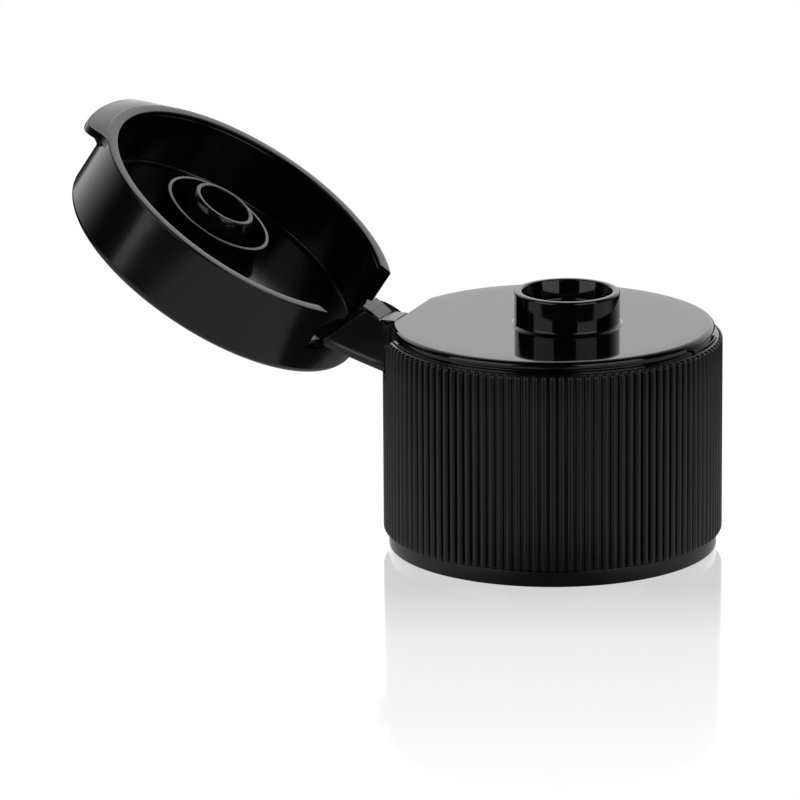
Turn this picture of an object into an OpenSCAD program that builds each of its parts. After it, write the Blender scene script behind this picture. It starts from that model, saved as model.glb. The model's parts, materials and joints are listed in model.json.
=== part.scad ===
// Flip lid dispensing closure with a butterfly living hinge, drawn open.
// Millimetres, +Z up, origin at the centre of the base rim, hinge on the -X side.
// The thread in the neck is not drawn here.

/* [Neck] */
// Bore for the bottle neck, over the thread
neck_bore_d = 24.2; // [23:0.1:26]
// Height where the straight wall of the bore ends and the thickening starts
bore_top = 12; // [10:0.5:12.5]
// Thickening of the wall in the corner under the deck
corner_t = 0.3; // [0.1:0.1:0.4]
// Outer diameter of the sealing ring under the deck
seal_d = 18; // [16:0.2:20]
// Wall of the sealing ring
seal_wall = 0.8; // [0.6:0.1:1.2]
// Height of the sealing ring
seal_h = 2.3; // [1.5:0.1:3]

/* [Skirt] */
// Wall of the skirt between the ribs
skirt_wall = 1.3; // [1.2:0.05:1.5]
// Distance from rib to rib around the skirt
rib_pitch = 0.7; // [0.66:0.02:0.9]
// Radius of one half round grip rib
rib_r = 0.3; // [0.2:0.02:0.34]
// Step from the skirt wall in to the smooth band at the base
band_step = 0.15; // [0.05:0.05:0.25]
// Height of the smooth band at the base
band_h = 1.33; // [0.8:0.01:2.5]

/* [Deck] */
// Height of the flat deck above the base rim
deck_z = 18.4; // [18.3:0.05:18.5]
// Depth of the ledge where the ribs end, below the deck
ledge_drop = 0.95; // [0.85:0.05:1.2]
// Step from the skirt wall in to the shoulder of the deck
shoulder_step = 0.32; // [0.26:0.02:0.45]
// Radius of the shoulder rounding
shoulder_round = 0.45; // [0.4:0.05:0.6]
// Depth of the groove under the shoulder
groove_step = 0.18; // [0.12:0.02:0.26]
// Thickness of the deck plate
deck_t = 1.5; // [1.2:0.1:2]
// Half angle of the small lug on the ledge at the front
lug_half_angle = 12; // [6:1:20]
// Height of the front lug above the ledge
lug_h = 0.29; // [0.15:0.01:0.35]

/* [Spout] */
// Distance of the spout axis from the closure axis, toward the front
spout_x = 1.25; // [0:0.05:2]
// Outer diameter of the spout
spout_d = 8.5; // [7.8:0.1:9]
// Height of the spout above the deck
spout_h = 2.75; // [2:0.05:3]
// Inner diameter at the mouth of the spout
mouth_d = 7.3; // [6.8:0.1:7.5]
// Inner diameter where the tapered mouth ends
taper_d = 6.8; // [6.5:0.1:6.8]
// Diameter of the seat that takes the plug of the lid
seat_d = 6.1; // [6:0.1:6.4]
// Depth of the seat edge below the spout top
seat_depth = 1.4; // [1.2:0.05:1.6]
// Diameter of the dispensing hole
orifice_d = 3.2; // [1.5:0.1:4]
// Radius of the fillet at the foot of the spout
spout_fillet = 0.35; // [0.2:0.05:0.6]
// Radius of the rounded outer edge of the spout
spout_round = 0.25; // [0.15:0.05:0.35]

/* [Lid] */
// Overhang of the lid over the skirt wall
lid_over = 0; // [-0.1:0.05:0.2]
// Height of the lid from its rim to its top
lid_h = 6.4; // [6.2:0.1:8]
// Wall of the lid
lid_wall = 0.94; // [0.8:0.02:1.1]
// Thickness of the top of the lid
lid_top_t = 1.2; // [0.9:0.1:1.4]
// Radius of the rounded top edge of the lid
lid_round = 0.7; // [0.4:0.1:1.1]
// Radius of the fillet inside the lid
lid_fillet = 0.77; // [0.4:0.01:0.9]
// Diameter over the plug that closes the spout
plug_d = 5.84; // [5.6:0.02:5.9]
// Wall of the plug
plug_wall = 0.65; // [0.5:0.05:0.8]
// Depth of the plug tip below the rim of the lid
plug_tip = 1.05; // [0.95:0.05:1.5]
// Gap between the ring in the lid and the spout
ring_gap = 0.1; // [0.08:0.01:0.2]
// Wall of the ring that runs outside the spout
ring_wall = 0.35; // [0.3:0.05:0.6]
// Depth of the ring tip below the rim of the lid
ring_tip = 2.05; // [1.95:0.05:3]

/* [Thumb lip] */
// Reach of the lip beyond the lid wall
lip_out = 1.6; // [1:0.1:2.4]
// Half width of the lip where it meets the wall
lip_half = 6.3; // [5:0.1:7]
// Radius of the outer edge of the lip seen from above
lip_r = 10; // [8:0.5:11]
// Rise of the lip from the rim plane to its tip
lip_rise = 0.6; // [0.4:0.05:1]
// Thickness of the lip at its tip
lip_t = 0.75; // [0.6:0.05:1]

/* [Hinge] */
// Angle between the closed and the open lid
open_angle = 146.5; // [140:0.5:155]
// Distance of the body film outside the skirt wall
film_out = 0.93; // [0.8:0.01:1.2]
// Depth of the body film below the deck
film_drop = 0.65; // [0.6:0.01:0.7]
// Distance of the lid film inside the lid's outer wall
lid_film_in = 0.24; // [0.2:0.01:0.3]
// Depth of the lid film below the rim of the lid
lid_film_d = 0.11; // [0.05:0.01:0.2]
// Length of the strap from film to film
strap_l = 1; // [0.9:0.05:1.2]
// Half width of the strap
strap_half = 1.45; // [1.2:0.05:1.7]
// Thickness of the strap
strap_t = 0.55; // [0.4:0.05:0.6]
// Lean of the closed strap from the upright
strap_lean = 21.7; // [18:0.1:24]
// Distance of the wing corners from the middle of the hinge
wing_half = 5.7; // [5:0.1:6]
// Drop of a wing film line from the strap to its corner
wing_drop = 2.8; // [2.4:0.05:3]
// Thickness of a wing
wing_t = 0.45; // [0.35:0.05:0.5]
// Thickness of the stiff strip along the free edge of a wing
edge_t = 0.65; // [0.5:0.05:0.7]
// Width of the stiff strip along the free edge of a wing
edge_w = 0.45; // [0.3:0.05:0.8]
// Half width of the hinge recess in the skirt
recess_half = 7.1; // [6.6:0.1:7.4]
// Depth of the hinge recess in the skirt wall
recess_depth = 0.7; // [0.6:0.05:0.8]
// Thickness of the body's pad under its film lines
pad_t = 0.75; // [0.6:0.05:0.9]
// Gap left at each film
film_gap = 0.05; // [0.04:0.01:0.08]
// Gap left between a wing and the lid film line
wing_gap = 0.2; // [0.15:0.01:0.3]
// Gap left between the strap and a wing
side_gap = 0.1; // [0.08:0.01:0.15]

/* [Smoothness] */
// Facets of the large round surfaces
round_n = 72; // [48:12:84]
// Facets of the small round surfaces
small_n = 48; // [32:4:56]

/* [Hidden] */
body_colour = [0.07, 0.07, 0.075];
lid_colour = [0.09, 0.09, 0.095];
hinge_colour = [0.11, 0.11, 0.115];
neck_r = neck_bore_d / 2;
skirt_r = neck_r + skirt_wall;
band_r = skirt_r - band_step;
rib_count = 4 * round(PI * skirt_r / (2 * rib_pitch));
under_z = deck_z - deck_t;
shoulder_r = skirt_r - shoulder_step;
groove_r = shoulder_r - groove_step;
groove_top = deck_z - 0.35;
ledge_z = deck_z - ledge_drop;
foot_r = groove_r + 0.25;
foot_z = ledge_z + 0.15;
recess_r = skirt_r - recess_depth;

// Straight back edge and floor of the tab that the hinge stands on
chord_x = -skirt_r + 1.4;
tab_floor = ledge_z + 0.05;

// Ends of the cuts on the hinge side, well clear of the part on both ends
hinge_far = -skirt_r - 6.6;
hinge_near = -skirt_r + 5.4;
above = deck_z + 20;
spout_r = spout_d / 2;
spout_top = deck_z + spout_h;
seat_z = spout_top - seat_depth;
lid_r = skirt_r + lid_over;
lid_in = lid_r - lid_wall;
ceiling = lid_h - lid_top_t;
lip_reach = lid_r + lip_out;
pad_r = lid_in - 0.4;
ring_in = spout_r + ring_gap;
ring_out = ring_in + ring_wall;
plug_r = plug_d / 2;

// Depth of the relief behind a film line, and the pad's and the films' small steps
relief = 0.75;
pad_back = 0.8;
film_sink = 0.05;
lip_in = 1.5;
lip_slope = 0.625;

// Place and height of the two films
film_x = skirt_r + film_out;
film_z = deck_z - film_drop;
lid_film_u = lid_r - lid_film_in;

// Plan lean of a film line that keeps a flat wing at rest both open and closed
wing_lean = wing_drop / tan((360 - open_angle) / 4);
half_turn = open_angle / 2;
closed_dir = 90 - strap_lean;
open_dir = closed_dir + half_turn;
lid_x = -film_x + strap_l * cos(closed_dir) + lid_film_u;
plug_u = spout_x - lid_x;
open_film = [-film_x + strap_l * cos(open_dir), film_z + strap_l * sin(open_dir)];

// Corners of the left wing in the open pose
body_a = [-film_x, strap_half, film_z];
body_b = [-film_x + wing_lean, wing_half, film_z - wing_drop];
lid_a = open_point([-lid_film_u, strap_half, lid_film_d]);
lid_b = open_point([-lid_film_u + wing_lean, wing_half, lid_film_d + wing_drop]);
wing_s = unit(body_b - body_a);
wing_n = unit(cross(wing_s, lid_b - body_b));
wing_u = cross(wing_n, wing_s);
flat_b = [norm(body_b - body_a), 0];
flat_c = in_wing(lid_b);
flat_d = in_wing(lid_a);
lid_side = unit(flat_c - flat_d);
lid_inset = [lid_side[1], -lid_side[0]];
free_side = unit(flat_c - flat_b);
free_inset = [-free_side[1], free_side[0]];
wing_p1 = [side_gap * 1.5, film_gap];
wing_p2 = [flat_b[0] - side_gap, film_gap];
wing_p3 = flat_c + wing_gap * lid_inset - 0.1 * lid_side;
wing_p4 = flat_d + wing_gap * lid_inset + 2 * side_gap * lid_side;

function unit(v) = v / norm(v);

// Where a point of the lid's own frame sits while the lid is open
function open_point(p) = [
    open_film[0] + (p[0] + lid_film_u) * cos(open_angle) - (p[2] - lid_film_d) * sin(open_angle),
    p[1],
    open_film[1] + (p[0] + lid_film_u) * sin(open_angle) + (p[2] - lid_film_d) * cos(open_angle)
];

// Flat coordinates of a point in the plane of the left wing
function in_wing(p) = [(p - body_a) * wing_s, (p - body_a) * wing_u];

// Extrudes an outline drawn in Y and Z along X
module along_x(x0, x1) {
    translate([x0, 0, 0])
        rotate([90, 0, 90])
            linear_extrude(x1 - x0)
                children();
}

// Extrudes an outline drawn in X and Z along Y, both ways
module along_y(half) {
    translate([0, half, 0])
        rotate([90, 0, 0])
            linear_extrude(2 * half)
                children();
}

module body_section() {
    polygon([
        [0, under_z],
        [seal_d / 2 - seal_wall, under_z],
        [seal_d / 2 - seal_wall, under_z - seal_h + 0.4],
        [seal_d / 2 - seal_wall + 0.3, under_z - seal_h],
        [seal_d / 2 - 0.2, under_z - seal_h],
        [seal_d / 2, under_z - seal_h + 0.5],
        [seal_d / 2, under_z],
        [neck_r - corner_t, under_z],
        [neck_r, bore_top],
        [neck_r, 0],
        [band_r - 0.15, 0],
        [band_r, 0.15],
        [band_r, ledge_z - 0.5],
        [foot_r, ledge_z - 0.5],
        [foot_r, foot_z],
        [groove_r, foot_z + 0.1],
        [groove_r, groove_top],
        [shoulder_r - shoulder_round, groove_top],
        [shoulder_r - shoulder_round, deck_z],
        [0, deck_z]
    ]);
    intersection() {
        translate([shoulder_r - shoulder_round, deck_z - shoulder_round])
            circle(r = shoulder_round, $fn = 20);
        translate([groove_r - 1, groove_top])
            square([2, 1]);
    }
}

module rib_ring() {
    intersection() {
        translate([0, 0, band_h])
            linear_extrude(ledge_z - band_h)
                difference() {
                    union() {
                        circle(r = skirt_r, $fn = rib_count);
                        for (i = [0 : rib_count - 1])
                            rotate((i + 0.5) * 360 / rib_count)
                                translate([skirt_r, 0])
                                    circle(r = rib_r, $fn = 14);
                    }
                    circle(r = band_r - 0.3, $fn = round_n);
                }
        rotate_extrude($fn = rib_count)
            polygon([
                [band_r - 1, band_h - 1],
                [skirt_r - 0.05, band_h - 1],
                [skirt_r - 0.05, band_h - 0.02],
                [skirt_r + 0.6, band_h + 0.63],
                [skirt_r + 0.6, ledge_z - 0.6],
                [skirt_r - 0.05, ledge_z + 0.05],
                [band_r - 1, ledge_z + 0.05]
            ]);
    }
}

// Outline in Y and Z of everything above the two film lines of the body
module body_vee(deeper) {
    polygon([
        [-recess_half, film_z - wing_drop - deeper],
        [-wing_half, film_z - wing_drop - deeper],
        [-strap_half, film_z - deeper],
        [strap_half, film_z - deeper],
        [wing_half, film_z - wing_drop - deeper],
        [recess_half, film_z - wing_drop - deeper],
        [recess_half, tab_floor + 2],
        [-recess_half, tab_floor + 2]
    ]);
}

// Plan outline outside the film lines, for the body or the lid
module outside_films(reach) {
    run = recess_half + 0.5 - strap_half;
    slope = wing_lean / (wing_half - strap_half);
    polygon([
        [-reach - 6, -recess_half - 0.5],
        [-reach + run * slope, -recess_half - 0.5],
        [-reach, -strap_half],
        [-reach, strap_half],
        [-reach + run * slope, recess_half + 0.5],
        [-reach - 6, recess_half + 0.5]
    ]);
}

// Pad of the body that carries the strap and both wings
module hinge_pad() {
    back_x = -film_x + wing_lean + pad_back;
    difference() {
        intersection() {
            along_y(wing_half)
                polygon([
                    [-film_x - 1, film_z + 1],
                    [-film_x - 1, film_z - pad_t + wing_drop / wing_lean],
                    [back_x, film_z - pad_t - wing_drop - pad_back * wing_drop / wing_lean],
                    [back_x, film_z + 1]
                ]);
            translate([0, 0, film_z / 2])
                linear_extrude(above)
                    polygon([
                        [-film_x, -strap_half],
                        [-film_x + wing_lean, -wing_half],
                        [back_x, -wing_half],
                        [back_x, wing_half],
                        [-film_x + wing_lean, wing_half],
                        [-film_x, strap_half]
                    ]);
        }
        cylinder(h = 2 * above, r = band_r - 0.2, center = true, $fn = round_n);
    }
}

module spout_solid() {
    rotate_extrude($fn = small_n) {
        translate([0, under_z + 0.3])
            square([spout_r, spout_h + deck_t - 0.3 - spout_round]);
        translate([0, deck_z])
            square([spout_r - spout_round, spout_h]);
        translate([spout_r - spout_round, spout_top - spout_round])
            circle(r = spout_round, $fn = 16);
        difference() {
            translate([spout_r - 0.5, deck_z - 0.3])
                square([0.5 + spout_fillet, 0.3 + spout_fillet]);
            translate([spout_r + spout_fillet, deck_z + spout_fillet])
                circle(r = spout_fillet, $fn = 20);
        }
    }
}

module spout_bore() {
    rotate_extrude($fn = small_n)
        polygon([
            [0, under_z - 1],
            [orifice_d / 2, under_z - 1],
            [orifice_d / 2, deck_z],
            [seat_d / 2, deck_z],
            [seat_d / 2, seat_z - 0.1],
            [taper_d / 2, seat_z],
            [mouth_d / 2, spout_top - 0.2],
            [mouth_d / 2 + 0.15, spout_top],
            [mouth_d / 2 + 0.15, spout_top + 1],
            [0, spout_top + 1]
        ]);
}

module front_lug() {
    intersection() {
        rotate_extrude($fn = round_n)
            translate([groove_r - 0.3, ledge_z - 0.3])
                square([skirt_r - 0.1 - groove_r + 0.3, lug_h + 0.3]);
        linear_extrude(above)
            polygon([
                [0, 0],
                [2 * skirt_r * cos(lug_half_angle), -2 * skirt_r * sin(lug_half_angle)],
                [2 * skirt_r * cos(lug_half_angle), 2 * skirt_r * sin(lug_half_angle)]
            ]);
    }
}

module closure_body() {
    color(body_colour)
        difference() {
            union() {
                rotate_extrude($fn = round_n)
                    body_section();
                difference() {
                    rib_ring();
                    difference() {
                        along_x(hinge_far, hinge_near)
                            body_vee(0);
                        cylinder(h = 2 * above, r = recess_r, center = true, $fn = round_n);
                    }
                    intersection() {
                        linear_extrude(above)
                            outside_films(film_x);
                        along_x(hinge_far, hinge_near)
                            body_vee(relief);
                    }
                }
                hinge_pad();
                front_lug();
                translate([spout_x, 0, 0])
                    spout_solid();
            }
            difference() {
                along_x(hinge_far, hinge_near)
                    body_vee(0);
                cylinder(h = 2 * above, r = recess_r, center = true, $fn = round_n);
            }
            translate([hinge_far, -recess_half, tab_floor])
                cube([chord_x - hinge_far, 2 * recess_half, above]);
            translate([spout_x, 0, 0])
                spout_bore();
        }
}

module hinge_strap() {
    color(hinge_colour)
        translate([-film_x, 0, film_z])
            rotate([0, -open_dir, 0])
                along_y(strap_half - side_gap / 2)
                    polygon([
                        [film_gap, 0],
                        [strap_l - film_gap, 0],
                        [strap_l - film_gap - 0.15, strap_t],
                        [film_gap + 0.1, strap_t]
                    ]);
}

module left_wing() {
    multmatrix([
        [wing_s[0], wing_u[0], wing_n[0], body_a[0]],
        [wing_s[1], wing_u[1], wing_n[1], body_a[1]],
        [wing_s[2], wing_u[2], wing_n[2], body_a[2]]
    ]) {
        translate([0, 0, -wing_t])
            linear_extrude(wing_t)
                polygon([wing_p1, wing_p2, wing_p3, wing_p4]);
        translate([0, 0, -edge_t])
            linear_extrude(edge_t - 0.1)
                polygon([
                    wing_p2 + 0.3 * free_side,
                    wing_p3 - 0.3 * free_side,
                    wing_p3 - 0.3 * free_side + edge_w * free_inset,
                    wing_p2 + 0.3 * free_side + edge_w * free_inset
                ]);
    }
}

module hinge_wing_left() {
    color(hinge_colour)
        left_wing();
}

module hinge_wing_right() {
    color(hinge_colour)
        mirror([0, 1, 0])
            left_wing();
}

module lid_section() {
    difference() {
        union() {
            polygon([
                [0, 0],
                [lid_r - 0.1, 0],
                [lid_r, 0.1],
                [lid_r, lid_h - lid_round],
                [0, lid_h - lid_round]
            ]);
            translate([0, lid_h - lid_round - 0.1])
                square([lid_r - lid_round, lid_round + 0.1]);
            translate([lid_r - lid_round, lid_h - lid_round])
                circle(r = lid_round, $fn = 24);
        }
        union() {
            translate([-1, -1])
                square([lid_in + 1, 1.4]);
            translate([-1, -1])
                square([lid_in - 0.08 + 1, ceiling - lid_fillet + 1]);
            translate([-1, ceiling - lid_fillet - 0.1])
                square([lid_in - 0.08 - lid_fillet + 1, lid_fillet + 0.1]);
            translate([lid_in - 0.08 - lid_fillet, ceiling - lid_fillet])
                circle(r = lid_fillet, $fn = 24);
        }
    }
}

// Outline in Y and Z of everything on the rim side of the lid's film lines
module lid_vee(deeper) {
    polygon([
        [-recess_half, -1],
        [recess_half, -1],
        [recess_half, lid_film_d + wing_drop + deeper],
        [wing_half, lid_film_d + wing_drop + deeper],
        [strap_half, lid_film_d + deeper],
        [-strap_half, lid_film_d + deeper],
        [-wing_half, lid_film_d + wing_drop + deeper],
        [-recess_half, lid_film_d + wing_drop + deeper]
    ]);
}

module thumb_lip() {
    intersection() {
        along_y(lip_half + 2)
            polygon([
                [lid_in + 0.2, 0],
                [lid_r - 0.1, 0],
                [lip_reach, lip_rise],
                [lip_reach + 1, lip_rise + lip_rise / (lip_reach - lid_r + 0.1)],
                [lip_reach + 1, lip_rise + lip_t],
                [lip_reach, lip_rise + lip_t],
                [lid_in + 0.2, 1.2]
            ]);
        linear_extrude(lid_h)
            intersection() {
                translate([lip_reach - lip_r, 0])
                    circle(r = lip_r, $fn = 96);
                polygon([
                    [lid_r - lip_in - 2, lip_half + 2 * lip_slope],
                    [lid_r - lip_in + 6, lip_half - 6 * lip_slope],
                    [lid_r - lip_in + 6, -lip_half + 6 * lip_slope],
                    [lid_r - lip_in - 2, -lip_half - 2 * lip_slope]
                ]);
            }
        difference() {
            cylinder(h = 2 * lid_h, r = 2 * lid_r, center = true, $fn = round_n);
            cylinder(h = 3 * lid_h, r = lid_in + 0.3, center = true, $fn = round_n);
        }
    }
}

// The lid in its own frame, rim down on z = 0
module lid_plain() {
    difference() {
        union() {
            rotate_extrude($fn = round_n)
                lid_section();
            thumb_lip();
            intersection() {
                difference() {
                    translate([0, 0, lid_film_d])
                        cylinder(h = ceiling - lid_film_d + 0.2, r = lid_in + 0.2, $fn = round_n);
                    cylinder(h = 3 * lid_h, r = pad_r, center = true, $fn = round_n);
                }
                translate([-2 * lid_r, -wing_half - 0.4, -1])
                    cube([2 * lid_r, 2 * wing_half + 0.8, 2 * lid_h]);
            }
            translate([plug_u, 0, 0])
                rotate_extrude($fn = small_n) {
                    polygon([
                        [plug_r - plug_wall, plug_tip],
                        [plug_r - 0.3, plug_tip],
                        [plug_r, plug_tip + 0.5],
                        [plug_r, ceiling + 0.2],
                        [plug_r - plug_wall, ceiling + 0.2]
                    ]);
                    polygon([
                        [ring_in + 0.1, ring_tip],
                        [ring_out - 0.05, ring_tip],
                        [ring_out, ring_tip + 0.1],
                        [ring_out, ceiling + 0.2],
                        [ring_in, ceiling + 0.2],
                        [ring_in, ring_tip + 0.2]
                    ]);
                }
        }
        along_x(hinge_far, hinge_near)
            lid_vee(0);
        intersection() {
            translate([0, 0, -2])
                linear_extrude(20)
                    outside_films(lid_film_u - film_sink);
            along_x(hinge_far, hinge_near)
                lid_vee(relief);
        }
    }
}

module flip_lid() {
    color(lid_colour)
        translate([open_film[0], 0, open_film[1]])
            rotate([0, -open_angle, 0])
                translate([lid_film_u, 0, -lid_film_d])
                    lid_plain();
}

closure_body();
hinge_strap();
hinge_wing_left();
hinge_wing_right();
flip_lid();
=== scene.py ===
"""Black flip lid closure with a butterfly living hinge, standing open on a glossy white floor."""

import json
import math

import bmesh
import bpy
from mathutils import Matrix, Vector


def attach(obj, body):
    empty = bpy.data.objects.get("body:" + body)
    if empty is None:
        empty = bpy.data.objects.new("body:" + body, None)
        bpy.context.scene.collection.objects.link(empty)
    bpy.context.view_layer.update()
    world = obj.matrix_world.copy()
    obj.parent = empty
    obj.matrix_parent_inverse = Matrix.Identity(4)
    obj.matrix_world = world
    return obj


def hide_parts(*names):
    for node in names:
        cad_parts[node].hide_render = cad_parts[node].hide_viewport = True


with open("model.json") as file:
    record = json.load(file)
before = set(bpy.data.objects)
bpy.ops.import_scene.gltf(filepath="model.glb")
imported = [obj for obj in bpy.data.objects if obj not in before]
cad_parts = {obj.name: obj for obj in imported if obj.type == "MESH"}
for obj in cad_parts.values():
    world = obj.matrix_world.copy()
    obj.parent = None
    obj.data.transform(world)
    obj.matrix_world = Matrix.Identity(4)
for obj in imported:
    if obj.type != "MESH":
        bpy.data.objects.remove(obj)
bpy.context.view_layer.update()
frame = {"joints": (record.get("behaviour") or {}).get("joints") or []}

# Units: every size below is in millimetres, and meshes are scaled to metres when they are made
MM = 0.001

# Closure body
NECK_R = 12.1
BAND_R = 13.25
BAND_H = 1.33
SKIRT_R = 13.4
RIB_R = 0.3
RIB_COUNT = 120
LEDGE_Z = 17.45
DECK_Z = 18.4
UNDER_Z = 16.9
SHOULDER_R = 13.08
SHOULDER_ROUND = 0.45
GROOVE_R = 12.9
FOOT_R = 13.15
SEAL_R = 9.0
SEAL_WALL = 0.8
SEAL_H = 2.3
RECESS_R = 12.7
RECESS_HALF = 7.1
CHORD_X = -12.0
TAB_FLOOR = 17.5
LUG_HALF_ANGLE = 12
LUG_H = 0.29

# Spout
SPOUT_X = 1.25
SPOUT_R = 4.25
SPOUT_TOP = DECK_Z + 2.75
MOUTH_R = 3.65
TAPER_R = 3.4
SEAT_R = 3.05
SEAT_Z = SPOUT_TOP - 1.4
ORIFICE_R = 1.6

# Thread in the neck
THREAD_PITCH = 3.18
THREAD_TURNS = 1.6
THREAD_DEPTH = 0.62
THREAD_START = 4.4

# Lid, in its own frame: rim on z = 0, top up
LID_R = 13.4
LID_IN = 12.46
LID_H = 6.4
LID_ROUND = 0.7
CEILING = 5.2
LID_FILLET = 0.35
STEP_DEPTH = 0.4
STEP_IN = 0.03
PLUG_U = 2.05
PLUG_R = 2.92
PLUG_WALL = 0.65
PLUG_TIP = 1.05
RING_R = 4.75
RING_WALL = 0.4
RING_TIP = 2.05
LIP_REACH = 15.1
LIP_RISE = 0.75
LIP_T = 0.7
LIP_OUTLINE = [(0, 14.95), (8, 15.0), (14, 15.1), (18, 15.05), (21, 14.75), (24, 14.1), (27, 13.6), (31, 13.4), (36, 13.34)]

# Hinge
OPEN_ANGLE = math.radians(146.5)
LID_FILM_U = 13.16
LID_FILM_D = 0.11
STRAP_HALF = 1.45
WING_HALF = 5.7
WING_DROP = 2.8
WING_LEAN = WING_DROP / math.tan((math.tau - OPEN_ANGLE) / 4)
WING_START = 1.6
INNER_IN = 0.48
INNER_DROP = 0.35
LID_LEAN = 1.5
WING_T = 0.42
EDGE_T = 0.62
EDGE_SHARE = 0.9
WING_DISH = 0.2
WING_LIFT = 0.52
LID_INNER = 0.32
RELIEF = 0.75

joints = {j["name"]: j for j in frame["joints"]}
BODY_FILM = Vector(joints["body_film"]["pos_m"]) / MM
LID_FILM = Vector(joints["lid_film"]["pos_m"]) / MM


def arc(cx, cz, r, start, end, steps):
    """Points on an arc from start to end, in degrees."""
    points = []
    for i in range(steps + 1):
        a = math.radians(start + (end - start) * i / steps)
        points.append((cx + r * math.cos(a), cz + r * math.sin(a)))
    return points


def new_object(name, verts, faces, sharp=30):
    """A mesh object from vertices in millimetres, smooth up to the sharp angle."""
    mesh = bpy.data.meshes.new(name)
    mesh.from_pydata([Vector(v) * MM for v in verts], [], faces)
    bm = bmesh.new()
    bm.from_mesh(mesh)
    bmesh.ops.remove_doubles(bm, verts=bm.verts, dist=1e-8)
    bmesh.ops.recalc_face_normals(bm, faces=bm.faces)
    bm.to_mesh(mesh)
    bm.free()
    obj = bpy.data.objects.new(name, mesh)
    bpy.context.scene.collection.objects.link(obj)
    shade(obj, sharp)
    return obj


def shade(obj, sharp):
    obj.data.shade_smooth()
    obj.data.set_sharp_from_angle(angle=math.radians(sharp))


def lathe(name, profile, steps, centre=0.0, sharp=30, closed=False):
    """A solid of revolution about the vertical axis at x = centre, from an outline of (radius, height)."""
    verts, faces, rings = [], [], []
    for r, z in profile:
        if r < 1e-6:
            rings.append([len(verts)])
            verts.append((centre, 0, z))
            continue
        rings.append(list(range(len(verts), len(verts) + steps)))
        for i in range(steps):
            a = math.tau * i / steps
            verts.append((centre + r * math.cos(a), r * math.sin(a), z))
    pairs = list(zip(rings, rings[1:]))
    if closed:
        pairs.append((rings[-1], rings[0]))
    for low, high in pairs:
        for i in range(steps):
            j = (i + 1) % steps
            if len(low) == 1 and len(high) == 1:
                continue
            if len(low) == 1:
                faces.append((low[0], high[j], high[i]))
            elif len(high) == 1:
                faces.append((low[i], low[j], high[0]))
            else:
                faces.append((low[i], low[j], high[j], high[i]))
    return new_object(name, verts, faces, sharp)


def prism(name, outline, low, high, place):
    """A closed prism: place turns an outline point and a height into a point in millimetres."""
    n = len(outline)
    verts = [place(p, low) for p in outline] + [place(p, high) for p in outline]
    faces = [tuple(range(n)), tuple(range(2 * n - 1, n - 1, -1))]
    for i in range(n):
        j = (i + 1) % n
        faces.append((i, j, n + j, n + i))
    return new_object(name, verts, faces)


def along_x(p, x):
    return (x, p[0], p[1])


def along_y(p, y):
    return (p[0], y, p[1])


def along_z(p, z):
    return (p[0], p[1], z)


def combine(obj, other, operation, keep=False):
    """Applies one boolean with another closed mesh, which is removed after."""
    mod = obj.modifiers.new("cut", "BOOLEAN")
    mod.operation = operation
    mod.solver = "MANIFOLD"
    mod.object = other
    bake(obj)
    if not keep:
        bpy.data.objects.remove(other)
    return obj


def bake(obj):
    """Applies the object's modifiers."""
    graph = bpy.context.evaluated_depsgraph_get()
    mesh = bpy.data.meshes.new_from_object(obj.evaluated_get(graph))
    obj.modifiers.clear()
    old = obj.data
    obj.data = mesh
    bpy.data.meshes.remove(old)


def finish_shape(obj, sharp=30, bevel=0.0, segments=3):
    """Small edge rounds, then normals that keep flat faces flat."""
    shade(obj, sharp)
    if bevel:
        mod = obj.modifiers.new("edge", "BEVEL")
        mod.width = bevel * MM
        mod.segments = segments
        mod.limit_method = "ANGLE"
        mod.angle_limit = math.radians(sharp)
        mod.harden_normals = False
        bake(obj)
        shade(obj, sharp)
    mod = obj.modifiers.new("normals", "WEIGHTED_NORMAL")
    mod.keep_sharp = True
    mod.weight = 50
    bake(obj)
    return obj


def vee(film_z, deeper, side, far):
    """Outline in Y and Z on one side of the film lines; side is 1 above them and -1 below."""
    low = film_z - side * (WING_DROP + deeper)
    inner = film_z - side * (INNER_DROP + deeper)
    top = film_z - side * deeper
    half = [(STRAP_HALF, top), (STRAP_HALF, inner), (WING_START, inner), (WING_HALF, low), (RECESS_HALF, low), (RECESS_HALF, far)]
    return half + [(-y, z) for y, z in reversed(half)]


def outside_films(reach, lean, step):
    """Plan outline outside the film lines."""
    inner = -reach + step
    corner = -reach + lean
    far = RECESS_HALF + 0.5
    far_x = corner + (far - WING_HALF) * (corner - inner) / (WING_HALF - WING_START)
    half = [(-reach, STRAP_HALF), (inner, STRAP_HALF), (inner, WING_START), (far_x, far), (-reach - 6, far)]
    return half + [(x, -y) for x, y in reversed(half)]


def body_cutter():
    """The hinge recess: above the film lines and outside the wall behind them."""
    cutter = prism("cutter", vee(BODY_FILM.z, 0, 1, TAB_FLOOR + 2), -20, -8, along_x)
    wall = lathe("wall", [(0, 0), (RECESS_R, 0), (RECESS_R, 40), (0, 40)], 360)
    return combine(cutter, wall, "DIFFERENCE")


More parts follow.
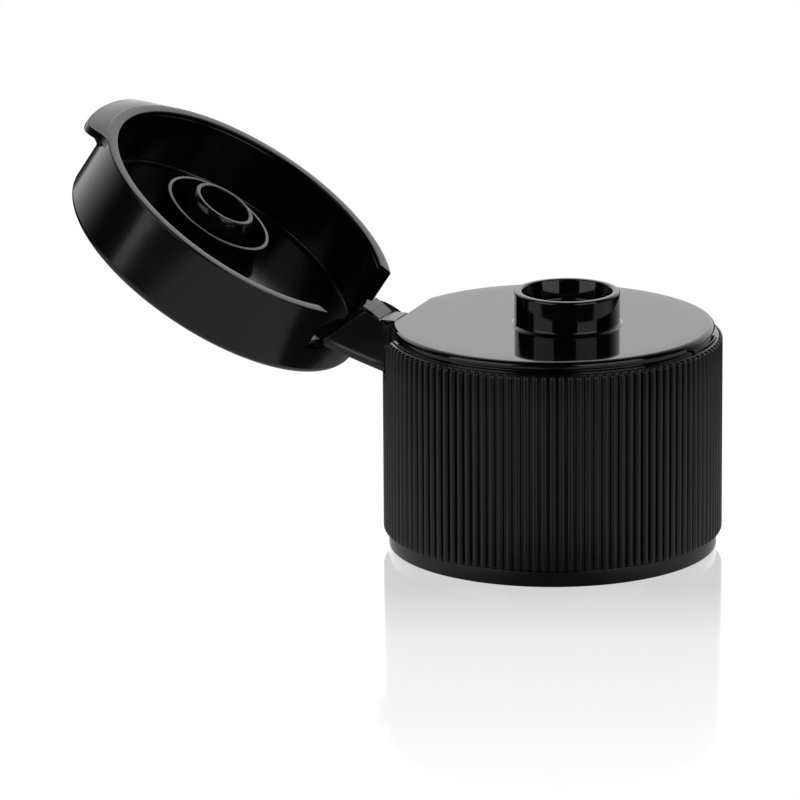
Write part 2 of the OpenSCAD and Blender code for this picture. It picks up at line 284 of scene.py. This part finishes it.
def make_shell():
    """Skirt wall, band, ledge, shoulder, deck and sealing ring, as one turned form with the recess cut in."""
    seal_in = SEAL_R - SEAL_WALL
    profile = [(0, UNDER_Z), (seal_in - 0.3, UNDER_Z)]
    profile += arc(seal_in - 0.3, UNDER_Z - 0.3, 0.3, 90, 0, 4)
    profile += [(seal_in, UNDER_Z - SEAL_H + 0.4), (seal_in + 0.3, UNDER_Z - SEAL_H)]
    profile += [(SEAL_R - 0.2, UNDER_Z - SEAL_H), (SEAL_R, UNDER_Z - SEAL_H + 0.5)]
    profile += arc(SEAL_R + 0.3, UNDER_Z - 0.3, 0.3, 180, 90, 4)
    profile += arc(NECK_R - 0.4, UNDER_Z - 0.4, 0.4, 90, 0, 5)
    profile += [(NECK_R, 0.3), (NECK_R + 0.2, 0.05), (NECK_R + 0.3, 0)]
    profile += arc(BAND_R - 0.18, 0.18, 0.18, -90, 0, 5)
    profile += arc(BAND_R - 0.06, BAND_H - 0.06, 0.06, 0, 60, 3)
    profile += [(SKIRT_R - 0.25, BAND_H + 0.02), (SKIRT_R - 0.02, BAND_H + 0.1)]
    profile += arc(SKIRT_R - 0.1, LEDGE_Z - 0.1, 0.1, 0, 90, 4)
    profile += arc(FOOT_R + 0.06, LEDGE_Z + 0.06, 0.06, 270, 180, 3)
    profile += arc(FOOT_R - 0.06, LEDGE_Z + 0.1, 0.06, 0, 90, 3)
    profile += arc(GROOVE_R + 0.08, LEDGE_Z + 0.26, 0.08, 270, 180, 3)
    profile += arc(GROOVE_R + 0.08, DECK_Z - 0.43, 0.08, 180, 90, 3)
    round_x = SHOULDER_R - SHOULDER_ROUND
    round_z = DECK_Z - SHOULDER_ROUND
    profile += arc(round_x, round_z, SHOULDER_ROUND, 14, 90, 14)
    profile += [(11.0, DECK_Z), (8.0, DECK_Z), (0, DECK_Z)]
    shell = lathe("closure_shell", profile, 480)
    combine(shell, body_cutter(), "DIFFERENCE")
    chord = prism(
        "chord",
        [(-20, -RECESS_HALF), (CHORD_X, -RECESS_HALF), (CHORD_X, RECESS_HALF), (-20, RECESS_HALF)],
        TAB_FLOOR, 30, along_z,
    )
    combine(shell, chord, "DIFFERENCE")
    hole = lathe("hole", [(0, 10), (SEAT_R, 10), (SEAT_R, 30), (0, 30)], 128, SPOUT_X)
    combine(shell, hole, "DIFFERENCE")
    finish_shape(shell)
    return shell


def make_spout():
    """The spout with its rounded lip, tapered mouth, seat and dispensing hole."""
    foot = 0.32
    profile = [(ORIFICE_R, UNDER_Z), (SEAT_R + 0.2, UNDER_Z), (SEAT_R + 0.2, DECK_Z - 0.02)]
    profile += arc(SPOUT_R + foot, DECK_Z + foot, foot, 270, 180, 7)
    profile += arc(SPOUT_R - 0.22, SPOUT_TOP - 0.22, 0.22, 0, 90, 7)
    profile += arc(MOUTH_R + 0.16, SPOUT_TOP - 0.16, 0.16, 90, 170, 6)
    profile += [(TAPER_R + 0.01, SEAT_Z + 0.06), (TAPER_R - 0.05, SEAT_Z)]
    profile += [(SEAT_R + 0.04, SEAT_Z - 0.05), (SEAT_R, SEAT_Z - 0.12), (SEAT_R, DECK_Z + 0.1)]
    profile += [(SEAT_R - 0.1, DECK_Z), (ORIFICE_R + 0.08, DECK_Z), (ORIFICE_R, DECK_Z - 0.08)]
    return finish_shape(lathe("spout", profile, 256, SPOUT_X, closed=True))


def make_ribs():
    """Half round grip ribs with ball ends, cut away in the hinge recess."""
    around, cap = 14, 4
    verts, faces = [], []
    low, high = BAND_H + RIB_R, LEDGE_Z - 0.04 - RIB_R
    rings = []
    for k in range(cap):
        a = math.radians(-90 + 90 * k / cap)
        rings.append((RIB_R * math.cos(a), low + RIB_R * math.sin(a)))
    for i in range(7):
        rings.append((RIB_R, low + (high - low) * i / 6))
    for k in range(1, cap + 1):
        a = math.radians(90 * k / cap)
        rings.append((RIB_R * math.cos(a), high + RIB_R * math.sin(a)))
    for n in range(RIB_COUNT):
        turn = math.tau * (n + 0.5) / RIB_COUNT
        cx, cy = SKIRT_R * math.cos(turn), SKIRT_R * math.sin(turn)
        last = None
        for r, z in rings:
            if r < 1e-6:
                ring = [len(verts)]
                verts.append((cx, cy, z))
            else:
                ring = list(range(len(verts), len(verts) + around))
                for i in range(around):
                    a = turn + math.tau * i / around
                    verts.append((cx + r * math.cos(a), cy + r * math.sin(a), z))
            if last is not None:
                for i in range(around):
                    j = (i + 1) % around
                    if len(last) == 1:
                        faces.append((last[0], ring[j], ring[i]))
                    elif len(ring) == 1:
                        faces.append((last[i], last[j], ring[0]))
                    else:
                        faces.append((last[i], last[j], ring[j], ring[i]))
            last = ring
    ribs = new_object("grip_ribs", verts, faces, 50)
    combine(ribs, body_cutter(), "DIFFERENCE")
    low_cut = prism("low", vee(BODY_FILM.z, RELIEF, 1, TAB_FLOOR + 2), -20, -8, along_x)
    plan = prism("plan", outside_films(-BODY_FILM.x, WING_LEAN, INNER_IN), 0, 30, along_z)
    combine(low_cut, plan, "INTERSECT")
    combine(ribs, low_cut, "DIFFERENCE")
    shade(ribs, 50)
    return ribs


def make_hinge_pad():
    """The pad of the body under the film lines."""
    x0 = BODY_FILM.x
    x1 = x0 + WING_LEAN
    slope = WING_DROP / WING_LEAN
    under = BODY_FILM.z - 0.75
    side = [
        (x0 - 1, BODY_FILM.z + 1),
        (x0 - 1, under + slope),
        (x1 + 0.8, under - WING_DROP - 0.8 * slope),
        (x1 + 0.8, BODY_FILM.z + 1),
    ]
    inner = x0 + INNER_IN
    half = [(x0, STRAP_HALF), (inner, STRAP_HALF), (inner, WING_START), (x1, WING_HALF), (x1 + 0.8, WING_HALF)]
    plan = half + [(x, -y) for x, y in reversed(half)]
    pad = prism("hinge_pad", side, -WING_HALF, WING_HALF, along_y)
    combine(pad, prism("plan", plan, 5, 25, along_z), "INTERSECT")
    combine(pad, body_cutter(), "DIFFERENCE")
    core = lathe("core", [(0, 0), (BAND_R - 0.2, 0), (BAND_R - 0.2, 40), (0, 40)], 240)
    combine(pad, core, "DIFFERENCE")
    return finish_shape(pad, bevel=0.04, segments=2)


def make_lug():
    """The short raised stretch of the ledge at the front."""
    half = math.radians(LUG_HALF_ANGLE)
    outer, inner = SKIRT_R - 0.1, GROOVE_R - 0.2
    steps = 24
    plan = []
    for i in range(steps + 1):
        a = -half + 2 * half * i / steps
        plan.append((outer * math.cos(a), outer * math.sin(a)))
    for i in range(steps + 1):
        a = half - 2 * half * i / steps
        plan.append((inner * math.cos(a), inner * math.sin(a)))
    lug = prism("ledge_lug", plan, LEDGE_Z - 0.2, LEDGE_Z + LUG_H, along_z)
    return finish_shape(lug, bevel=0.05, segments=3)


def make_thread():
    """One and a half turns of a rounded buttress thread on the neck's wall, thinning out at both ends."""
    steps = int(THREAD_TURNS * 120)
    section = [(0.25, -0.75), (0.0, -0.62), (-0.75, -0.25), (-1.0, -0.08), (-1.0, 0.12), (-0.75, 0.3), (0.0, 0.55), (0.25, 0.7)]
    verts, faces = [], []
    for i in range(steps + 1):
        t = i / steps
        a = math.tau * THREAD_TURNS * t
        fade = min(1.0, t / 0.06, (1 - t) / 0.06)
        z = THREAD_START + THREAD_PITCH * THREAD_TURNS * t
        for d, h in section:
            depth = d if d >= 0 else d * fade
            r = NECK_R + depth * THREAD_DEPTH if d <= 0 else NECK_R + d
            verts.append((r * math.cos(a), r * math.sin(a), z + h * (0.4 + 0.6 * fade)))
    n = len(section)
    for i in range(steps):
        for k in range(n):
            m = (k + 1) % n
            faces.append((i * n + k, i * n + m, (i + 1) * n + m, (i + 1) * n + k))
    faces.append(tuple(range(n)))
    faces.append(tuple(steps * n + k for k in reversed(range(n))))
    return new_object("neck_thread", verts, faces, 40)


# Places a lid piece from the lid's own frame to the open pose
OPEN_LID = (
    Matrix.Translation(LID_FILM * MM)
    @ Matrix.Rotation(-OPEN_ANGLE, 4, "Y")
    @ Matrix.Translation(Vector((LID_FILM_U, 0, -LID_FILM_D)) * MM)
)


def lid_cut(obj):
    """Cuts the hinge notch of the lid, and the relief outside its film lines."""
    notch = prism("notch", vee(LID_FILM_D, 0, -1, -2), -20, -8, along_x)
    combine(obj, notch, "DIFFERENCE")
    deep = prism("deep", vee(LID_FILM_D, RELIEF, -1, -2), -20, -8, along_x)
    combine(deep, prism("plan", outside_films(LID_FILM_U + 0.02, LID_LEAN, LID_INNER), -5, 20, along_z), "INTERSECT")
    combine(obj, deep, "DIFFERENCE")


def make_lid_shell():
    """Wall and top of the lid, with its rounded edges and the step inside the rim."""
    inner = LID_IN - STEP_IN
    profile = [(0, LID_H)]
    profile += [(9.0, LID_H)]
    profile += arc(LID_R - LID_ROUND, LID_H - LID_ROUND, LID_ROUND, 90, 0, 14)
    profile += arc(LID_R - 0.14, 0.14, 0.14, 0, -90, 5)
    profile += arc(LID_IN + 0.1, 0.1, 0.1, 270, 180, 4)
    profile += [(LID_IN, STEP_DEPTH - 0.03), (inner, STEP_DEPTH + 0.02)]
    profile += arc(inner - LID_FILLET, CEILING - LID_FILLET, LID_FILLET, 0, 90, 12)
    profile += [(9.0, CEILING), (0, CEILING)]
    shell = lathe("lid_shell", profile, 480)
    pad_r = LID_IN - 0.4
    pad = lathe("pad", [(pad_r, 1.6), (LID_IN + 0.2, 1.2), (LID_IN + 0.2, CEILING + 0.2), (pad_r, CEILING + 0.2)], 480, closed=True)
    side = WING_HALF + 0.4
    sector = prism("sector", [(-20, -side), (0, -side), (0, side), (-20, side)], -1, 11, along_z)
    combine(pad, sector, "INTERSECT")
    combine(shell, pad, "UNION")
    lid_cut(shell)
    return finish_shape(shell)


def lip_radius(a):
    """Reach of the thumb lip from the lid's axis at an angle in degrees from the middle."""
    for (a0, r0), (a1, r1) in zip(LIP_OUTLINE, LIP_OUTLINE[1:]):
        if a <= a1:
            t = (a - a0) / (a1 - a0)
            return r0 + (r1 - r0) * t
    return LIP_OUTLINE[-1][1]


def make_thumb_lip():
    """The lip that the thumb lifts, blended into the rim."""
    sections = []
    steps, end = 96, LIP_OUTLINE[-1][0]
    for i in range(steps + 1):
        a = -end + 2 * end * i / steps
        r = sum(lip_radius(abs(a + k)) for k in (-1.2, 0, 1.2)) / 3
        share = max(0.0, (r - LID_R) / (LIP_REACH - LID_R))
        ring = [(LID_IN + 0.25, 0.015), (LID_R - 0.35, 0.015)]
        for k in range(1, 8):
            t = k / 8
            ring.append((LID_R - 0.35 + (r - 0.1 - LID_R + 0.35) * t, 0.015 + LIP_RISE * share * t ** 1.4))
        top = 0.015 + LIP_RISE * share
        low = top + LIP_T
        ring += arc(r - 0.1, top + 0.1, 0.1, -90, 0, 4)
        ring += arc(r - 0.1, low - 0.1, 0.1, 0, 90, 4)
        wall = LID_R - 0.02
        inset = max(0.0, r - 0.12 - wall)
        ring += [(wall + inset * 0.5, low + 0.03), (wall + inset * 0.15, low + 0.15 + 0.25 * share), (wall - 0.02, low + 0.3 + 0.5 * share)]
        ring.append((LID_IN + 0.25, low + 0.3 + 0.5 * share))
        sections.append((math.radians(a), ring))
    n = len(sections[0][1])
    verts, faces = [], []
    for a, ring in sections:
        for r, d in ring:
            verts.append((r * math.cos(a), r * math.sin(a), d))
    for i in range(steps):
        for k in range(n):
            m = (k + 1) % n
            faces.append((i * n + k, i * n + m, (i + 1) * n + m, (i + 1) * n + k))
    faces.append(tuple(range(n)))
    faces.append(tuple(steps * n + k for k in reversed(range(n))))
    return finish_shape(new_object("thumb_lip", verts, faces, 40), sharp=40)


def make_plug():
    """The tube that closes the spout."""
    inner = PLUG_R - PLUG_WALL
    profile = arc(inner - 0.3, CEILING - 0.3, 0.3, 90, 0, 5)
    profile += arc(inner + 0.1, PLUG_TIP + 0.1, 0.1, 180, 270, 4)
    profile += arc(PLUG_R - 0.34, PLUG_TIP + 0.08, 0.08, 270, 330, 3)
    profile += [(PLUG_R, PLUG_TIP + 0.55)]
    profile += arc(PLUG_R + 0.3, CEILING - 0.3, 0.3, 180, 90, 5)
    profile += [(PLUG_R + 0.3, CEILING + 0.3), (inner - 0.3, CEILING + 0.3)]
    return finish_shape(lathe("lid_plug", profile, 256, PLUG_U, closed=True))


def make_ring():
    """The ring that runs outside the spout."""
    inner = RING_R - RING_WALL
    profile = arc(inner - 0.25, CEILING - 0.25, 0.25, 90, 0, 5)
    profile += [(inner, RING_TIP + 0.2), (inner + 0.1, RING_TIP)]
    profile += arc(RING_R - 0.08, RING_TIP + 0.08, 0.08, 270, 360, 4)
    profile += arc(RING_R + 0.3, CEILING - 0.3, 0.3, 180, 90, 5)
    profile += [(RING_R + 0.3, CEILING + 0.3), (inner - 0.25, CEILING + 0.3)]
    return finish_shape(lathe("lid_ring", profile, 256, PLUG_U, closed=True))


def lid_point(u, v, d):
    """A point of the lid's own frame, where it is in the open pose."""
    return (OPEN_LID @ (Vector((u, v, d)) * MM)) / MM


def make_wing(name, side):
    """One hinge wing: a dished plate between its two film lines, with a stiff strip along its free edge."""
    inner_x = BODY_FILM.x + INNER_IN
    a = Vector((inner_x, WING_START, BODY_FILM.z - INNER_DROP))
    b = Vector((BODY_FILM.x + WING_LEAN, WING_HALF, BODY_FILM.z - WING_DROP))
    c = lid_point(-LID_FILM_U + LID_LEAN, WING_HALF, LID_FILM_D + WING_DROP)
    d = lid_point(-LID_FILM_U + LID_INNER, WING_START, LID_FILM_D + INNER_DROP)
    normal = (b - a).cross(c - b).normalized()
    long_n, wide_n = 28, 16
    outer, inner = [], []
    for i in range(long_n + 1):
        s = 0.05 + 0.94 * i / long_n
        for k in range(wide_n + 1):
            t = 0.005 + 0.965 * k / wide_n
            flat = a.lerp(b, s).lerp(d.lerp(c, s), t)
            strip = max(0.0, (s - EDGE_SHARE) / (1 - EDGE_SHARE))
            bulge = 0.6 + 0.4 * math.sin(math.pi * t) ** 0.6
            sunk = WING_DISH * math.sin(math.pi * t) * min(1.0, s / 0.5) * (1 - strip)
            thick = EDGE_T if s > EDGE_SHARE else WING_T
            top = flat + normal * (WING_LIFT * (1 - s) ** 1.5 * bulge - sunk)
            outer.append(top)
            inner.append(top - normal * thick)
    row = wide_n + 1
    size = len(outer)
    faces = []
    for i in range(long_n):
        for k in range(wide_n):
            q = (i * row + k, i * row + k + 1, (i + 1) * row + k + 1, (i + 1) * row + k)
            faces.append(q)
            faces.append(tuple(size + v for v in reversed(q)))
    rim = [k for k in range(row)] + [i * row + wide_n for i in range(1, long_n + 1)]
    rim += [long_n * row + k for k in range(wide_n - 1, -1, -1)] + [i * row for i in range(long_n - 1, 0, -1)]
    for v, w in zip(rim, rim[1:] + rim[:1]):
        faces.append((v, w, size + w, size + v))
    points = [Vector((p.x, side * p.y, p.z)) for p in outer + inner]
    wing = new_object(name, points, faces, 25)
    return finish_shape(wing, sharp=25, bevel=0.08, segments=3)


def make_strap():
    """The short strap in the middle of the hinge."""
    along = (LID_FILM - BODY_FILM).normalized()
    out = Vector((0, 1, 0)).cross(along)
    length = (LID_FILM - BODY_FILM).length
    section = [(0.04, 0.0), (length - 0.03, 0.0), (length - 0.12, -0.5), (0.14, -0.5)]
    if out.z < 0:
        out = -out
    place = lambda p, y: BODY_FILM + along * p[0] + out * p[1] + Vector((0, y, 0))
    strap = prism("hinge_strap_plate", section, -STRAP_HALF + 0.03, STRAP_HALF - 0.03, place)
    return finish_shape(strap, bevel=0.03, segments=2)


def plastic(name, base, rough, rough_spread, grain, grain_height, level=0.5):
    """Black polypropylene: a slightly uneven gloss and a fine moulded grain."""
    material = bpy.data.materials.new(name)
    material.use_nodes = True
    nodes, links = material.node_tree.nodes, material.node_tree.links
    shader = nodes["Principled BSDF"]
    shader.inputs["IOR"].default_value = 1.5
    shader.inputs["Specular IOR Level"].default_value = level
    coords = nodes.new("ShaderNodeTexCoord")
    cloud = nodes.new("ShaderNodeTexNoise")
    cloud.inputs["Scale"].default_value = 260
    cloud.inputs["Detail"].default_value = 3
    links.new(coords.outputs["Object"], cloud.inputs["Vector"])
    spread = nodes.new("ShaderNodeMapRange")
    spread.inputs["To Min"].default_value = rough - rough_spread
    spread.inputs["To Max"].default_value = rough + rough_spread
    links.new(cloud.outputs["Fac"], spread.inputs["Value"])
    links.new(spread.outputs["Result"], shader.inputs["Roughness"])
    tint = nodes.new("ShaderNodeMix")
    tint.data_type = "RGBA"
    tint.inputs["A"].default_value = (base * 0.85, base * 0.85, base * 0.86, 1)
    tint.inputs["B"].default_value = (base * 1.15, base * 1.14, base * 1.15, 1)
    links.new(cloud.outputs["Fac"], tint.inputs["Factor"])
    links.new(tint.outputs["Result"], shader.inputs["Base Color"])
    fine = nodes.new("ShaderNodeTexNoise")
    fine.inputs["Scale"].default_value = grain
    fine.inputs["Detail"].default_value = 2
    links.new(coords.outputs["Object"], fine.inputs["Vector"])
    bump = nodes.new("ShaderNodeBump")
    bump.inputs["Strength"].default_value = 1.0
    bump.inputs["Distance"].default_value = grain_height * MM
    links.new(fine.outputs["Fac"], bump.inputs["Height"])
    links.new(bump.outputs["Normal"], shader.inputs["Normal"])
    return material


def dress(obj, material, body):
    obj.data.materials.clear()
    obj.data.materials.append(material)
    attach(obj, body)
    return obj


polished = plastic("polished_black", 0.003, 0.06, 0.02, 900, 0.0004)
satin = plastic("satin_black", 0.008, 0.32, 0.05, 5000, 0.004)
smooth = plastic("smooth_black", 0.004, 0.16, 0.03, 2500, 0.0015)
film_black = plastic("hinge_black", 0.012, 0.3, 0.04, 2500, 0.002, 0.45)

shell = dress(make_shell(), polished, "base")
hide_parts("closure_body")
dress(make_ribs(), satin, "base")
dress(make_spout(), polished, "base")
dress(make_hinge_pad(), smooth, "base")
dress(make_lug(), polished, "base")
dress(make_thread(), smooth, "base")

lid_parts = [make_lid_shell(), make_thumb_lip(), make_plug(), make_ring()]
for part in lid_parts:
    part.data.transform(OPEN_LID)
    dress(part, smooth, "lid")
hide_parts("flip_lid")

strap = dress(make_strap(), smooth, "strap")
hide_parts("hinge_strap")
left = dress(make_wing("wing_plate_left", 1), film_black, "wing_left")
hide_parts("hinge_wing_left")
right_wing = dress(make_wing("wing_plate_right", -1), film_black, "wing_right")
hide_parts("hinge_wing_right")


# Camera at the photograph's angle
AZIMUTH = math.radians(20.7)
ELEVATION = math.radians(14.92)
ROLL = math.radians(-0.354)
DISTANCE = 600
LOOK_AT_Z = 9.0
RIGHT_SHIFT = -12.315
UP_SHIFT = 2.876
FOCAL = 334.08

forward = Vector((
    -math.sin(AZIMUTH) * math.cos(ELEVATION),
    math.cos(AZIMUTH) * math.cos(ELEVATION),
    -math.sin(ELEVATION),
))
level_right = Vector((math.cos(AZIMUTH), math.sin(AZIMUTH), 0))
level_up = level_right.cross(forward)
right = level_right * math.cos(ROLL) + level_up * math.sin(ROLL)
up = level_up * math.cos(ROLL) - level_right * math.sin(ROLL)
target = Vector((0, 0, LOOK_AT_Z)) + level_right * RIGHT_SHIFT + level_up * UP_SHIFT
eye = (target - forward * DISTANCE) * MM
camera_data = bpy.data.cameras.new("camera")
camera_data.lens = FOCAL
camera_data.sensor_width = 36
camera_data.clip_start = 0.01
camera_data.clip_end = 20
camera = bpy.data.objects.new("camera", camera_data)
bpy.context.scene.collection.objects.link(camera)
turn = Matrix((right, up, -forward)).transposed()
camera.matrix_world = Matrix.Translation(eye) @ turn.to_4x4()
bpy.context.scene.camera = camera


# Studio: directions are seen from the object, with azimuth 0 toward the camera and positive to its right
def studio_direction(azimuth, elevation):
    a = math.radians(azimuth)
    e = math.radians(elevation)
    toward = Vector((math.sin(AZIMUTH), -math.cos(AZIMUTH), 0))
    return toward * math.cos(a) * math.cos(e) + level_right * math.sin(a) * math.cos(e) + Vector((0, 0, math.sin(e)))


def softbox(name, azimuth, elevation, distance, width, height, power):
    lamp = bpy.data.lights.new(name, "AREA")
    lamp.shape = "RECTANGLE"
    lamp.size = width
    lamp.size_y = height
    lamp.energy = power
    obj = bpy.data.objects.new(name, lamp)
    direction = studio_direction(azimuth, elevation)
    obj.location = direction * distance
    obj.rotation_mode = "QUATERNION"
    obj.rotation_quaternion = direction.to_track_quat("Z", "Y")
    bpy.context.scene.collection.objects.link(obj)
    return obj


def make_world():
    """White for the camera. For reflections and light it is bright behind the object and dark in front."""
    world = bpy.data.worlds.new("studio")
    bpy.context.scene.world = world
    world.use_nodes = True
    nodes, links = world.node_tree.nodes, world.node_tree.links
    nodes.clear()
    coords = nodes.new("ShaderNodeTexCoord")
    along = nodes.new("ShaderNodeVectorMath")
    along.operation = "DOT_PRODUCT"
    along.inputs[1].default_value = (-math.sin(AZIMUTH), math.cos(AZIMUTH), 0)
    links.new(coords.outputs["Generated"], along.inputs[0])
    ramp = nodes.new("ShaderNodeMapRange")
    ramp.interpolation_type = "SMOOTHSTEP"
    ramp.inputs["From Min"].default_value = 0.15
    ramp.inputs["From Max"].default_value = 0.9
    ramp.inputs["To Min"].default_value = 0.01
    ramp.inputs["To Max"].default_value = 1.34
    links.new(along.outputs["Value"], ramp.inputs["Value"])
    light_path = nodes.new("ShaderNodeLightPath")
    seen = nodes.new("ShaderNodeMix")
    seen.data_type = "FLOAT"
    links.new(light_path.outputs["Is Camera Ray"], seen.inputs["Factor"])
    links.new(ramp.outputs["Result"], seen.inputs["A"])
    seen.inputs["B"].default_value = 1.0
    background = nodes.new("ShaderNodeBackground")
    background.inputs["Color"].default_value = (1, 1, 1, 1)
    links.new(seen.outputs["Result"], background.inputs["Strength"])
    output = nodes.new("ShaderNodeOutputWorld")
    links.new(background.outputs["Background"], output.inputs["Surface"])


def make_floor():
    """Glossy white sheet for the camera: it mirrors the object faintly and has painted shade in front of it, darkest
    next to the object and brighter toward the camera.
    """
    size = 3.0
    mesh = bpy.data.meshes.new("floor")
    mesh.from_pydata([(-size, -size, 0), (size, -size, 0), (size, size, 0), (-size, size, 0)], [], [(0, 1, 2, 3)])
    floor = bpy.data.objects.new("floor", mesh)
    bpy.context.scene.collection.objects.link(floor)
    floor.location.z = -0.02 * MM
    material = bpy.data.materials.new("white_sheet")
    material.use_nodes = True
    nodes, links = material.node_tree.nodes, material.node_tree.links
    nodes.clear()
    coords = nodes.new("ShaderNodeTexCoord")

    def distance(direction):
        """Millimetres from the object's axis along a direction."""
        dot = nodes.new("ShaderNodeVectorMath")
        dot.operation = "DOT_PRODUCT"
        dot.inputs[1].default_value = direction / MM
        links.new(coords.outputs["Object"], dot.inputs[0])
        return dot.outputs["Value"]

    def ramp(value, start, end, low, high):
        """Smooth change of a value between two distances."""
        node = nodes.new("ShaderNodeMapRange")
        node.interpolation_type = "SMOOTHSTEP"
        node.inputs["From Min"].default_value = start
        node.inputs["From Max"].default_value = end
        node.inputs["To Min"].default_value = low
        node.inputs["To Max"].default_value = high
        links.new(value, node.inputs["Value"])
        return node.outputs["Result"]

    def math_node(operation, first, second):
        node = nodes.new("ShaderNodeMath")
        node.operation = operation
        links.new(first, node.inputs[0])
        links.new(second, node.inputs[1])
        return node.outputs["Value"]

    ahead = distance(Vector((math.sin(AZIMUTH), -math.cos(AZIMUTH), 0)))
    sideways = distance(level_right)
    aside = nodes.new("ShaderNodeMath")
    aside.operation = "ABSOLUTE"
    links.new(sideways, aside.inputs[0])
    # Just in front of the object: this area gets the painted shade and the faint mirror.
    painted_shade_and_mirror_area = math_node("MULTIPLY", ramp(aside.outputs["Value"], 13.6, 14.6, 1, 0), ramp(ahead, -2, 4, 0, 1))
    spread = nodes.new("ShaderNodeMapRange")
    spread.inputs["From Min"].default_value = 13
    spread.inputs["From Max"].default_value = 62
    links.new(ahead, spread.inputs["Value"])
    # Painted shade: grey next to the object's front, lightening toward the camera, standing in for the darker
    # reflection there.
    painted_shade_tones = nodes.new("ShaderNodeValToRGB")
    painted_shade_tones.color_ramp.elements[0].position = 0.0
    painted_shade_tones.color_ramp.elements[0].color = (0.63, 0.63, 0.63, 1)
    painted_shade_tones.color_ramp.elements[1].position = 1.0
    painted_shade_tones.color_ramp.elements[1].color = (0.97, 0.97, 0.97, 1)
    middle = painted_shade_tones.color_ramp.elements.new(0.3)
    middle.color = (0.84, 0.84, 0.84, 1)
    links.new(spread.outputs["Result"], painted_shade_tones.inputs["Fac"])
    white = nodes.new("ShaderNodeMix")
    white.data_type = "RGBA"
    white.inputs["A"].default_value = (1, 1, 1, 1)
    links.new(painted_shade_and_mirror_area, white.inputs["Factor"])
    links.new(painted_shade_tones.outputs["Color"], white.inputs["B"])
    glow = nodes.new("ShaderNodeEmission")
    links.new(white.outputs["Result"], glow.inputs["Color"])
    strength = nodes.new("ShaderNodeMix")
    strength.data_type = "RGBA"
    strength.inputs["A"].default_value = (0, 0, 0, 1)
    strength.inputs["B"].default_value = (0.33, 0.33, 0.33, 1)
    links.new(painted_shade_and_mirror_area, strength.inputs["Factor"])
    mirror = nodes.new("ShaderNodeBsdfGlossy")
    mirror.inputs["Roughness"].default_value = 0.08
    links.new(strength.outputs["Result"], mirror.inputs["Color"])
    both = nodes.new("ShaderNodeAddShader")
    links.new(glow.outputs["Emission"], both.inputs[0])
    links.new(mirror.outputs["BSDF"], both.inputs[1])
    level = math_node("MULTIPLY", ramp(aside.outputs["Value"], 2, 14, 0.1, 0.46), ramp(ahead, -60, -5, 0.04, 1))
    level = math_node("MULTIPLY", level, ramp(ahead, 66, 82, 1, 0.04))
    plain = nodes.new("ShaderNodeEmission")
    links.new(level, plain.inputs["Strength"])
    light_path = nodes.new("ShaderNodeLightPath")
    pick = nodes.new("ShaderNodeMixShader")
    links.new(light_path.outputs["Is Camera Ray"], pick.inputs["Fac"])
    links.new(plain.outputs["Emission"], pick.inputs[1])
    links.new(both.outputs["Shader"], pick.inputs[2])
    output = nodes.new("ShaderNodeOutputMaterial")
    links.new(pick.outputs["Shader"], output.inputs["Surface"])
    mesh.materials.append(material)


make_world()
make_floor()
softbox("left_softbox", -56, 25, 0.6, 0.5, 0.5, 0.9)
softbox("right_softbox", 43, 25, 0.6, 0.5, 0.5, 0.9)
bpy.context.scene.view_settings.view_transform = "Standard"
